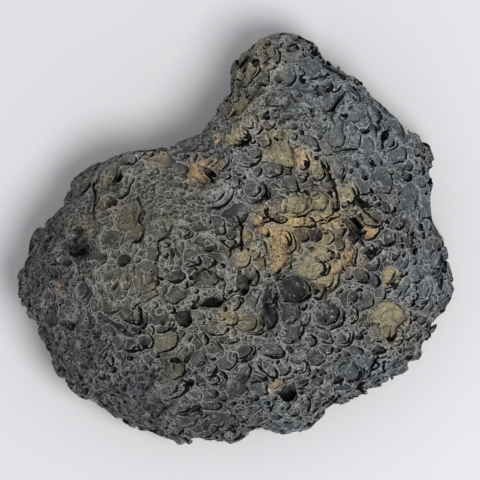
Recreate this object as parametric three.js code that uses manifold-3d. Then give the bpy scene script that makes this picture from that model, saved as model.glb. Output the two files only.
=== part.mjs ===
// A piece of vesicular lava (scoria): a broad, low body and a blunt horn that meet in a re-entrant notch,
// with a creased top, burst gas bubbles and a rubbed underside that it rests on.
// Millimetres, +Z up. The origin is under the middle of the stone, on the surface that it rests on.
import * as THREE from "three";
import { ImprovedNoise } from "three/addons/math/ImprovedNoise.js";
import { mergeVertices } from "three/addons/utils/BufferGeometryUtils.js";
import Module from "manifold-3d";

// Driving dimensions of the whole stone.
const LENGTH = 150;
const WIDTH = 140;
const THICKNESS = 56;

// The widest level, where the top turns over into the underside.
const GIRTH_HEIGHT = 19;
// Height of the top before its swells and dips.
const CROWN_HEIGHT = 46;
// The underside reaches this far below the resting plane before it is trimmed flat there.
const TRIM_DEPTH = 3;
// How square the stone is in section: 2 is an ellipse, more has a flatter top and steeper sides.
const TOP_SQUARENESS = 2.7;
const UNDERSIDE_SQUARENESS = 2.4;
// Bearings at which a lobe's outline is read off.
const BEARINGS = 1440;

// The two lobes, each with the point it spreads from, the fineness of its faces, and its outline at the
// widest level, anticlockwise. The stretch of each outline inside the other lobe is buried there.
const BODY = {
  hub: [0, -18],
  rings: 12,
  outline: [
    [75, -16.5], [73.5, -9], [72.5, -3], [69.5, 1.5], [65.5, 7], [60, 22], [42, 33], [22, 39], [2, 39],
    [-10, 35.5], [-20, 33.5], [-28, 31.5], [-36, 31], [-43.5, 27.5], [-48.5, 23.5], [-54.5, 20.5],
    [-58.5, 13.5], [-62, 9], [-68.5, 2], [-71.5, -5], [-75, -14], [-73.5, -23], [-69.5, -27], [-66, -35],
    [-62, -43], [-57, -51], [-51.5, -56], [-43.5, -59], [-36, -64.5], [-29, -66], [-20.5, -69.5],
    [-12.5, -68], [-4.5, -69.5], [3, -67.5], [10, -66], [18, -67], [26, -63], [33, -58.5], [40, -53.5],
    [48, -51.5], [53, -47], [61, -43.5], [65, -37.5], [67.5, -29], [71, -24.5],
  ],
};
const HORN = {
  hub: [30, 32],
  rings: 8,
  outline: [
    [66.5, 11], [67.5, 20], [66, 28], [64, 35], [58.5, 38], [53.5, 43], [46, 49.5], [38, 56.5], [31, 61],
    [28.5, 65], [22.5, 69], [14.5, 70], [7, 69.5], [3, 65], [-0.5, 58.5], [0, 52.5], [-5, 47], [-9.5, 40.5],
    [-12, 33], [-13, 20], [-8, 6], [4, -7], [22, -16], [44, -17], [59, -9], [65, 3],
  ],
};

// Broad swells and dips of the top: where, how far along and across, which way the long axis runs, how high.
const SWELLS = [
  { x: -20, y: -16, along: 40, across: 32, turn: 10, rise: 9 },
  { x: 8, y: 58, along: 16, across: 8, turn: 75, rise: 8 },
  { x: 20, y: 34, along: 16, across: 8, turn: -50, rise: 6 },
  { x: 42, y: 14, along: 16, across: 6, turn: -35, rise: 8 },
  { x: 58, y: 32, along: 18, across: 12, turn: -45, rise: -7 },
  { x: 14, y: 3, along: 18, across: 10, turn: -25, rise: -5 },
  { x: 26, y: -8, along: 12, across: 9, turn: 0, rise: -3 },
  { x: 36, y: -38, along: 20, across: 15, turn: 20, rise: 4 },
  { x: 62, y: -10, along: 12, across: 12, turn: 0, rise: 3 },
];

// Lumpiness from coarse to fine: the size of the lumps, and how far they stand in and out.
const LUMPS = [
  { size: 17, reach: 3 },
  { size: 8, reach: 1.7 },
];
// The share of that lumpiness left on a sheer side.
const SIDE_LUMPINESS = 0.5;

// The largest burst bubbles and the one deep cavity: where, half lengths along, across and down, which way
// the long axis runs, and how deep.
const BUBBLES = [
  { x: 14.3, y: 31.8, along: 6.8, across: 4.6, down: 4, turn: -62, depth: 2.6 },
  { x: 52, y: -27.5, along: 9.2, across: 8, down: 6, turn: -40, depth: 3.2 },
  { x: 53.2, y: -31.8, along: 4.6, across: 4.2, down: 4, turn: 0, depth: 4.4 },
  { x: 40.6, y: 5, along: 4.6, across: 2.8, down: 7, turn: -62, depth: 10.5 },
  { x: 25.5, y: 12.6, along: 7, across: 6, down: 4.5, turn: -15, depth: 2.4 },
  { x: 20.8, y: 11, along: 4.8, across: 3.8, down: 4, turn: 5, depth: 4 },
  { x: 6, y: 16.5, along: 6, across: 5, down: 4, turn: -20, depth: 2 },
  { x: 19.4, y: -16.6, along: 6, across: 5, down: 5, turn: 10, depth: 3.2 },
  { x: 15, y: -4.5, along: 9, across: 5, down: 5, turn: 88, depth: 2.4 },
  { x: 5.2, y: -28.6, along: 7.4, across: 5.6, down: 5, turn: 12, depth: 3.4 },
  { x: 31, y: -25.2, along: 5.2, across: 4.4, down: 4, turn: -30, depth: 3 },
  { x: 38.2, y: -45, along: 5.8, across: 4.6, down: 5, turn: -20, depth: 4 },
  { x: 18.2, y: -53, along: 4.4, across: 3.8, down: 4.4, turn: 0, depth: 4.6 },
  { x: -22, y: -44, along: 6, across: 5, down: 4.6, turn: 60, depth: 2.4 },
  { x: -17.6, y: -26.6, along: 4, across: 3, down: 4, turn: 60, depth: 4 },
  { x: -53.5, y: -3, along: 6.8, across: 3.6, down: 4, turn: -12, depth: 3 },
  { x: -35.8, y: 5.6, along: 7, across: 4.8, down: 4.5, turn: 70, depth: 1.8 },
  { x: -12.8, y: 23.4, along: 6.6, across: 3, down: 4, turn: -36, depth: 3.2 },
  { x: 15.2, y: 48, along: 5.2, across: 4.4, down: 4.2, turn: -25, depth: 2.4 },
  { x: 36.5, y: 34.5, along: 7.4, across: 6, down: 5, turn: 40, depth: 2.2 },
  { x: 48.8, y: 19.4, along: 5.8, across: 5, down: 4.4, turn: 20, depth: 2 },
];
const BUBBLE_RINGS = 2;

const noise = new ImprovedNoise();

// A lobe's outline as one radius from its hub on each bearing, read off a smooth curve through its points.
function outlineRadii({ hub, outline }) {
  const curve = new THREE.CatmullRomCurve3(outline.map(([x, y]) => new THREE.Vector3(x, y, 0)), true);
  const seen = curve.getPoints(BEARINGS * 4).map((p) => {
    const arm = new THREE.Vector2(p.x - hub[0], p.y - hub[1]);
    return { bearing: arm.angle(), radius: arm.length() };
  });
  seen.sort((a, b) => a.bearing - b.bearing);
  const radii = [];
  let next = 0;
  for (let i = 0; i < BEARINGS; i++) {
    while (next < seen.length - 1 && seen[next].bearing < (i * 2 * Math.PI) / BEARINGS) next++;
    radii.push(seen[next].radius);
  }
  return radii;
}

BODY.radii = outlineRadii(BODY);
HORN.radii = outlineRadii(HORN);

// A lobe's radius on any bearing, between the two nearest that were read off.
function outlineRadius({ radii }, bearing) {
  const place = (((bearing / (2 * Math.PI)) % 1) + 1) * BEARINGS;
  const low = Math.floor(place);
  return THREE.MathUtils.lerp(radii[low % BEARINGS], radii[(low + 1) % BEARINGS], place - low);
}

// One smooth swell's height at a point.
function swell({ x, y, along, across, turn, rise }, px, py) {
  const arm = new THREE.Vector2(px - x, py - y).rotateAround(new THREE.Vector2(), -THREE.MathUtils.degToRad(turn));
  return rise * Math.exp(-0.5 * ((arm.x / along) ** 2 + (arm.y / across) ** 2));
}

// Height of the top before it rounds over at the outline.
function crownHeight(x, y) {
  return SWELLS.reduce((sum, each) => sum + swell(each, x, y), CROWN_HEIGHT);
}

// Height of one lobe's rounded top over a point in plan, without the lumps.
function lobeHeight(lobe, x, y) {
  const arm = new THREE.Vector2(x - lobe.hub[0], y - lobe.hub[1]);
  const share = Math.min(arm.length() / outlineRadius(lobe, arm.angle()), 1);
  const left = (1 - share ** TOP_SQUARENESS) ** (1 / TOP_SQUARENESS);
  return GIRTH_HEIGHT + (crownHeight(x, y) - GIRTH_HEIGHT) * left;
}

function topHeight(x, y) {
  return Math.max(lobeHeight(BODY, x, y), lobeHeight(HORN, x, y));
}

// Moves one point of the unit sphere to the smooth lobe: its bearing is kept, and its height on the
// sphere says how far in from the outline it lies, above or below the widest level.
function placeOnLobe(lobe, point) {
  const bearing = Math.atan2(point.y, point.x);
  const level = Math.asin(THREE.MathUtils.clamp(point.z, -1, 1));
  const squareness = level > 0 ? TOP_SQUARENESS : UNDERSIDE_SQUARENESS;
  const share = Math.max(Math.cos(level), 0) ** (2 / squareness);
  const rise = Math.abs(Math.sin(level)) ** (2 / squareness);
  const radius = outlineRadius(lobe, bearing) * share;
  const x = lobe.hub[0] + radius * Math.cos(bearing);
  const y = lobe.hub[1] + radius * Math.sin(bearing);
  const reach = level > 0 ? crownHeight(x, y) - GIRTH_HEIGHT : -(GIRTH_HEIGHT + TRIM_DEPTH);
  point.set(x, y, GIRTH_HEIGHT + reach * rise);
}

// Pushes each point in or out along its normal by the sum of the noise at every size of lump.
function roughen(geometry) {
  geometry.computeVertexNormals();
  const { position, normal } = geometry.attributes;
  for (let i = 0; i < position.count; i++) {
    const point = new THREE.Vector3().fromBufferAttribute(position, i);
    const outward = new THREE.Vector3().fromBufferAttribute(normal, i);
    const push = LUMPS.reduce(
      (sum, { size, reach }) => sum + reach * noise.noise(point.x / size, point.y / size, point.z / size),
      0,
    );
    point.addScaledVector(outward, push * THREE.MathUtils.lerp(SIDE_LUMPINESS, 1, Math.abs(outward.z)));
    position.setXYZ(i, point.x, point.y, point.z);
  }
}

// Only positions, shared between faces, as a solid needs them.
function bare(geometry) {
  geometry.deleteAttribute("normal");
  geometry.deleteAttribute("uv");
  return mergeVertices(geometry, 1e-4);
}

function lobeGeometry(lobe) {
  const geometry = bare(new THREE.IcosahedronGeometry(1, lobe.rings));
  const { position } = geometry.attributes;
  const point = new THREE.Vector3();
  for (let i = 0; i < position.count; i++) {
    placeOnLobe(lobe, point.fromBufferAttribute(position, i));
    position.setXYZ(i, point.x, point.y, point.z);
  }
  roughen(geometry);
  return bare(geometry);
}

// An egg-shaped bubble, sunk so that it goes the stated depth below the top.
function bubble({ x, y, along, across, down, turn, depth }) {
  const geometry = bare(new THREE.IcosahedronGeometry(1, BUBBLE_RINGS));
  geometry.scale(along, across, down);
  geometry.rotateZ(THREE.MathUtils.degToRad(turn));
  return geometry.translate(x, y, topHeight(x, y) - depth + down);
}

// Everything below the plane that the stone rests on.
function ground() {
  const side = 2 * LENGTH;
  return bare(new THREE.BoxGeometry(side, side, THICKNESS).translate(0, 0, -THICKNESS / 2));
}

const wasm = await Module();
wasm.setup();

function solidOf(geometry) {
  return new wasm.Manifold(
    new wasm.Mesh({
      numProp: 3,
      vertProperties: geometry.attributes.position.array,
      triVerts: new Uint32Array(geometry.index.array),
    }),
  );
}

function geometryOf(solid) {
  const { vertProperties, triVerts } = solid.getMesh();
  return new THREE.BufferGeometry()
    .setAttribute("position", new THREE.BufferAttribute(vertProperties, 3))
    .setIndex(new THREE.BufferAttribute(triVerts, 1));
}

// Brings the stone to its stated length, width and thickness, with the origin under its middle.
function trueToSize(geometry) {
  geometry.computeBoundingBox();
  const size = geometry.boundingBox.getSize(new THREE.Vector3());
  const middle = geometry.boundingBox.getCenter(new THREE.Vector3());
  geometry.translate(-middle.x, -middle.y, -geometry.boundingBox.min.z);
  return geometry.scale(LENGTH / size.x, WIDTH / size.y, THICKNESS / size.z);
}

function lavaRock() {
  let solid = solidOf(lobeGeometry(BODY)).add(solidOf(lobeGeometry(HORN)));
  for (const each of BUBBLES) solid = solid.subtract(solidOf(bubble(each)));
  solid = solid.subtract(solidOf(ground()));
  const material = new THREE.MeshStandardMaterial({ color: 0x565654, roughness: 0.92, metalness: 0 });
  const mesh = new THREE.Mesh(trueToSize(geometryOf(solid)), material);
  mesh.geometry.computeVertexNormals();
  mesh.name = "lava_rock";
  return mesh;
}

const stone = new THREE.Group();
stone.add(lavaRock());
export default stone;
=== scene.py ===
import math
import time

import bmesh
import bpy
import numpy as np
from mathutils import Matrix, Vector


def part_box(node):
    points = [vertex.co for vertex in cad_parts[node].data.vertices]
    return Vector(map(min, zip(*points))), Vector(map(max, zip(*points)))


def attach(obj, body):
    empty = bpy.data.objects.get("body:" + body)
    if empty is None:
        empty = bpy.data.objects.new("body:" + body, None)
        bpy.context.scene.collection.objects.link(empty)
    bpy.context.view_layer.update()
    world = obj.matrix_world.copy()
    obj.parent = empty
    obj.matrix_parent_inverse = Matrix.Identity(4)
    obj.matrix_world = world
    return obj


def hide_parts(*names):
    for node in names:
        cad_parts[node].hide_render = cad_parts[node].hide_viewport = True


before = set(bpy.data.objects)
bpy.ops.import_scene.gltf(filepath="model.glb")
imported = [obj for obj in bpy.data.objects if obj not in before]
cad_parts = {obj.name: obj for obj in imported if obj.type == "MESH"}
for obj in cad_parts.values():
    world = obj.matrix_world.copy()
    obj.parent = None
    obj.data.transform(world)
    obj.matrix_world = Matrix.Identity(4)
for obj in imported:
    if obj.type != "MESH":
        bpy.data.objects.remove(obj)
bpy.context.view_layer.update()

import openvdb
from mathutils import Vector
from mathutils.kdtree import KDTree

startTime = time.time()
seeded = np.random.default_rng


def report(stage):
    print(f"{stage}: {time.time() - startTime:.1f} s")


def addToScene(name, data):
    thing = bpy.data.objects.new(name, data)
    bpy.context.scene.collection.objects.link(thing)
    return thing


# the working block: the stone as small cells, each holding its distance from the surface in mm
block = {
    "cell": 0.34,  # edge of one cell, mm
    "band": 3.0,  # distances are kept this far from the surface, mm
    "margin": 3.0,  # empty room round the stone, mm
}
cell = block["cell"]
lowMm = np.array(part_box("lava_rock")[0]) * 1000 - block["margin"]
highMm = np.array(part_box("lava_rock")[1]) * 1000 + block["margin"]
firstCell = np.floor(lowMm / cell).astype(int)
blockShape = tuple(np.ceil(highMm / cell).astype(int) - firstCell + 1)


def softened(field, reach):
    # blurs a field over this many mm, one axis after another
    sigma = reach / cell
    half = max(1, math.ceil(2.3 * sigma))
    weights = np.exp(-0.5 * (np.arange(-half, half + 1) / sigma) ** 2)
    weights = (weights / weights.sum()).astype(np.float32)
    for axis in range(3):
        room = [(half, half) if a == axis else (0, 0) for a in range(3)]
        padded = np.pad(field, room, mode="edge")
        blurred = np.zeros_like(field)
        for step, weight in enumerate(weights):
            window = [slice(None)] * 3
            window[axis] = slice(step, step + field.shape[axis])
            blurred += weight * padded[tuple(window)]
        field = blurred
    return field


def cloud(size, seed):
    # smooth random swells about this many mm across, with a spread of 1
    values = seeded(seed).standard_normal([int(n * cell / size) + 5 for n in blockShape])
    values = values.astype(np.float32)
    for axis, count in enumerate(blockShape):
        place = np.arange(count) * cell / size + 1
        low = place.astype(int)
        t = (place - low).astype(np.float32)
        shares = ((1 - t) ** 3 / 6, (3 * t**3 - 6 * t**2 + 4) / 6, (-3 * t**3 + 3 * t**2 + 3 * t + 1) / 6,
                  t**3 / 6)
        span = [-1 if a == axis else 1 for a in range(3)]
        values = sum(np.take(values, low - 1 + k, axis) * share.reshape(span)
                     for k, share in enumerate(shares))
    return values / values.std()


def readAt(field, points):
    # the field between cells, at points in mm
    place = np.clip(points / cell - firstCell, 0, np.array(blockShape) - 1.001)
    low = place.astype(int)
    part = place - low
    total = np.zeros(len(points))
    for corner in np.ndindex(2, 2, 2):
        share = np.prod(np.where(corner, part, 1 - part), axis=1)
        total += share * field[tuple((low + corner).T)]
    return total


def slopeAt(field, points):
    # which way is out at points in mm
    steps = np.eye(3) * cell * 1.5
    slope = np.stack([readAt(field, points + step) - readAt(field, points - step) for step in steps], 1)
    return slope / np.maximum(np.linalg.norm(slope, axis=1), 1e-6)[:, None]


# the whole lump, before its bubbles
lump = {
    "soften": 1.5,  # rounds off the facets, mm
    "swells": [(8.0, 0.6, 11), (4.5, 0.35, 12)],  # size, height and seed of each, mm
    "calmer": 0.5,  # how much less they show on top
    "most": 1.4,  # mm
    # places on the outline that stand out further: x, y, z, reach and height, mm
    "fuller": [
        (-26, -63, 15, 12, 2.6), (11, -62, 15, 8, 1.5), (42, -50, 15, 8, 1.8), (62, -35, 16, 9, 2.0),
        (69, 1, 18, 8, 1.5),
    ],
}


def wholeLump(node):
    shell = bmesh.new()
    shell.from_mesh(node.data)
    bmesh.ops.remove_doubles(shell, verts=shell.verts, dist=1e-6)
    points = np.array([v.co for v in shell.verts], np.float32) * 1000
    faces = np.array([[v.index for v in f.verts] for f in shell.faces], np.uint32)
    shell.free()
    levels = openvdb.FloatGrid.createLevelSetFromPolygons(
        points, triangles=faces, transform=openvdb.createLinearTransform(voxelSize=cell),
        halfWidth=block["band"] / cell)
    field = np.zeros(blockShape, np.float32)
    levels.copyToArray(field, ijk=tuple(int(n) for n in firstCell))
    field = softened(field, lump["soften"])
    facingUp = np.clip(np.gradient(field, cell, axis=2), 0, 1)
    ways = [((np.arange(n) + first) * cell).astype(np.float32) for n, first in zip(blockShape, firstCell)]
    for x, y, z, reach, height in lump["fuller"]:
        apart = (ways[0][:, None, None] - x) ** 2 + (ways[1][None, :, None] - y) ** 2 + (ways[2] - z) ** 2
        field -= height * np.exp(-apart / reach**2)
    swell = sum(height * cloud(size, seed) for size, height, seed in lump["swells"])
    return field + (1 - lump["calmer"] * facingUp) * np.clip(swell, -lump["most"], lump["most"])


def towards(direction, normals):
    # the part of a direction that lies along the surface, one for each normal
    along = direction - normals * (normals @ direction)[:, None]
    return along / np.maximum(np.linalg.norm(along, axis=1), 1e-6)[:, None]


def surfaceSpots(field, count, dice):
    # random spots on the surface in mm, and which way is out at each
    near = np.flatnonzero(np.abs(field[1:-1, 1:-1, 1:-1]) < 0.5 * cell)
    inner = tuple(n - 2 for n in blockShape)
    ijk = np.stack(np.unravel_index(dice.choice(near, count), inner), 1) + 1
    spots = (ijk + firstCell) * cell
    return spots, slopeAt(field, spots)


def topHeights(field, places):
    # the highest surface over places in plan, mm
    heights = []
    for x, y in places:
        i, j = (int(round(v / cell)) - firstCell[a] for a, v in enumerate((x, y)))
        column = field[i, j]
        k = np.flatnonzero(column < 0)[-1]
        heights.append((k + firstCell[2] + column[k] / (column[k] - column[k + 1])) * cell)
    return np.array(heights)


def nearby(centre, reach):
    # the cells within reach of a point, and their places from it in mm; these are bent a little, so that no
    # bubble is a true egg
    low = np.maximum(np.floor((centre - reach) / cell).astype(int) - firstCell, 0)
    high = np.minimum(np.ceil((centre + reach) / cell).astype(int) - firstCell + 1, blockShape)
    high = np.maximum(high, low)
    window = tuple(slice(l, h) for l, h in zip(low, high))
    places = []
    for a in range(3):
        step = ((np.arange(low[a], high[a]) + firstCell[a]) * cell - centre[a]).astype(np.float32)
        step = step.reshape([-1 if b == a else 1 for b in range(3)])
        places.append(bends[a][window] - bendAt(centre)[a] + step)
    return window, places


def bendAt(point):
    # how far the stone is bent at a point
    place = tuple(np.clip(np.round(point / cell).astype(int) - firstCell, 0, np.array(blockShape) - 1))
    return [bends[a][place] for a in range(3)]


def along(axis, places):
    # how far each cell lies along a direction
    x, y, z = places
    axis = np.float32(axis)
    return axis[0] * x + axis[1] * y + axis[2] * z


def carve(stone, bubble):
    # takes one egg-shaped bubble out of the solid, and notes whose wall each cell is on
    window, places = nearby(bubble["centre"], 1.15 * max(bubble["radii"]) + 1.5)
    near = 0
    slope = 0
    for axis, radius in zip(bubble["axes"], bubble["radii"]):
        part = along(axis, places)
        near = near + (part / radius) ** 2
        slope = slope + (part / radius**2) ** 2
    near = np.sqrt(near)
    gap = near * (1 - near) / np.maximum(np.sqrt(slope), 1e-3)
    solid, runnerUp, owner = (stone[name][window] for name in ("solid", "runnerUp", "owner"))
    np.maximum(runnerUp, np.minimum(gap, solid), out=runnerUp)
    owner[gap > solid] = len(bubbles)
    np.maximum(solid, gap, out=solid)
    bubbles.append(bubble)


def carveCleft(field, bubble, width, depth):
    # a narrow ring-shaped cleft round a bubble; the ring dips, so only its low side cuts into the stone
    window, places = nearby(bubble["centre"], 1.1 * max(bubble["radii"]) + depth + cell)
    long, wide, out = (along(axis, places) for axis in bubble["axes"])
    longest, widest = bubble["radii"][:2]
    mean = math.sqrt(longest * widest)
    side = (np.sqrt((long / longest) ** 2 + (wide / widest) ** 2) - bowl["rimAt"]) * mean
    gap = width * (1 - np.sqrt((side / width) ** 2 + (out / depth) ** 2))
    np.maximum(field[window], gap, out=field[window])


def bubbleAxes(outward, lean, leanTowards, longWay):
    # short axis leans from straight out by an angle; the long ones follow longWay as near as they can
    short = math.cos(lean) * outward + math.sin(lean) * leanTowards
    longWay = longWay - short * (longWay @ short)
    longWay = longWay / max(np.linalg.norm(longWay), 1e-6)
    return np.array([longWay, np.cross(short, longWay), short])


# each burst bubble is a flattened egg that dips to one side, so that side of the bowl is undercut
bowl = {
    "roomier": 1.14,  # the bubble against its opening
    "sink": 0.12,  # how far its middle lies under the surface, in short axes
    "lean": 7,  # degrees
    "leanTowards": (0.8, -0.6, 0),
    "shallower": 0.45,  # against the depths listed below, for all but the dark ones
    "blackFrom": 3.1,  # dark ones with a short axis over this end in black painted shade, mm
    "greyFrom": 3.2,  # dark ones wider than this are only half as dark, mm
    "cleft": (0.36, 1.0),  # half width and half depth of the crack along the low side, mm
    "cleftFrom": 2.0,  # smaller bowls have no crack, mm
    "cleftCalm": 0.45,  # nor do bowls quieter than this
    "cleftStretch": 1.7,  # nor do bowls longer than this against their width
    "cleftWidest": 10,  # nor do bowls this wide, times the stretch, mm
    "nested": (0.5, 0.72),  # an older bubble inside a large one, against its size
    "nestedIn": (2.8, 6),  # the bowls that may hold one, by half their width, mm
    "nestedShare": 0.45,  # how many of those do
    "nestedOff": (-0.3, 0.15),  # how far it lies down the dip, in half widths
    "nestedSunk": (0.75, 0.55),  # how deep it lies and how deep it is, against the large one's depth
    "rimAt": 0.97,  # outlines are drawn this far out, against the bubble
}
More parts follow.
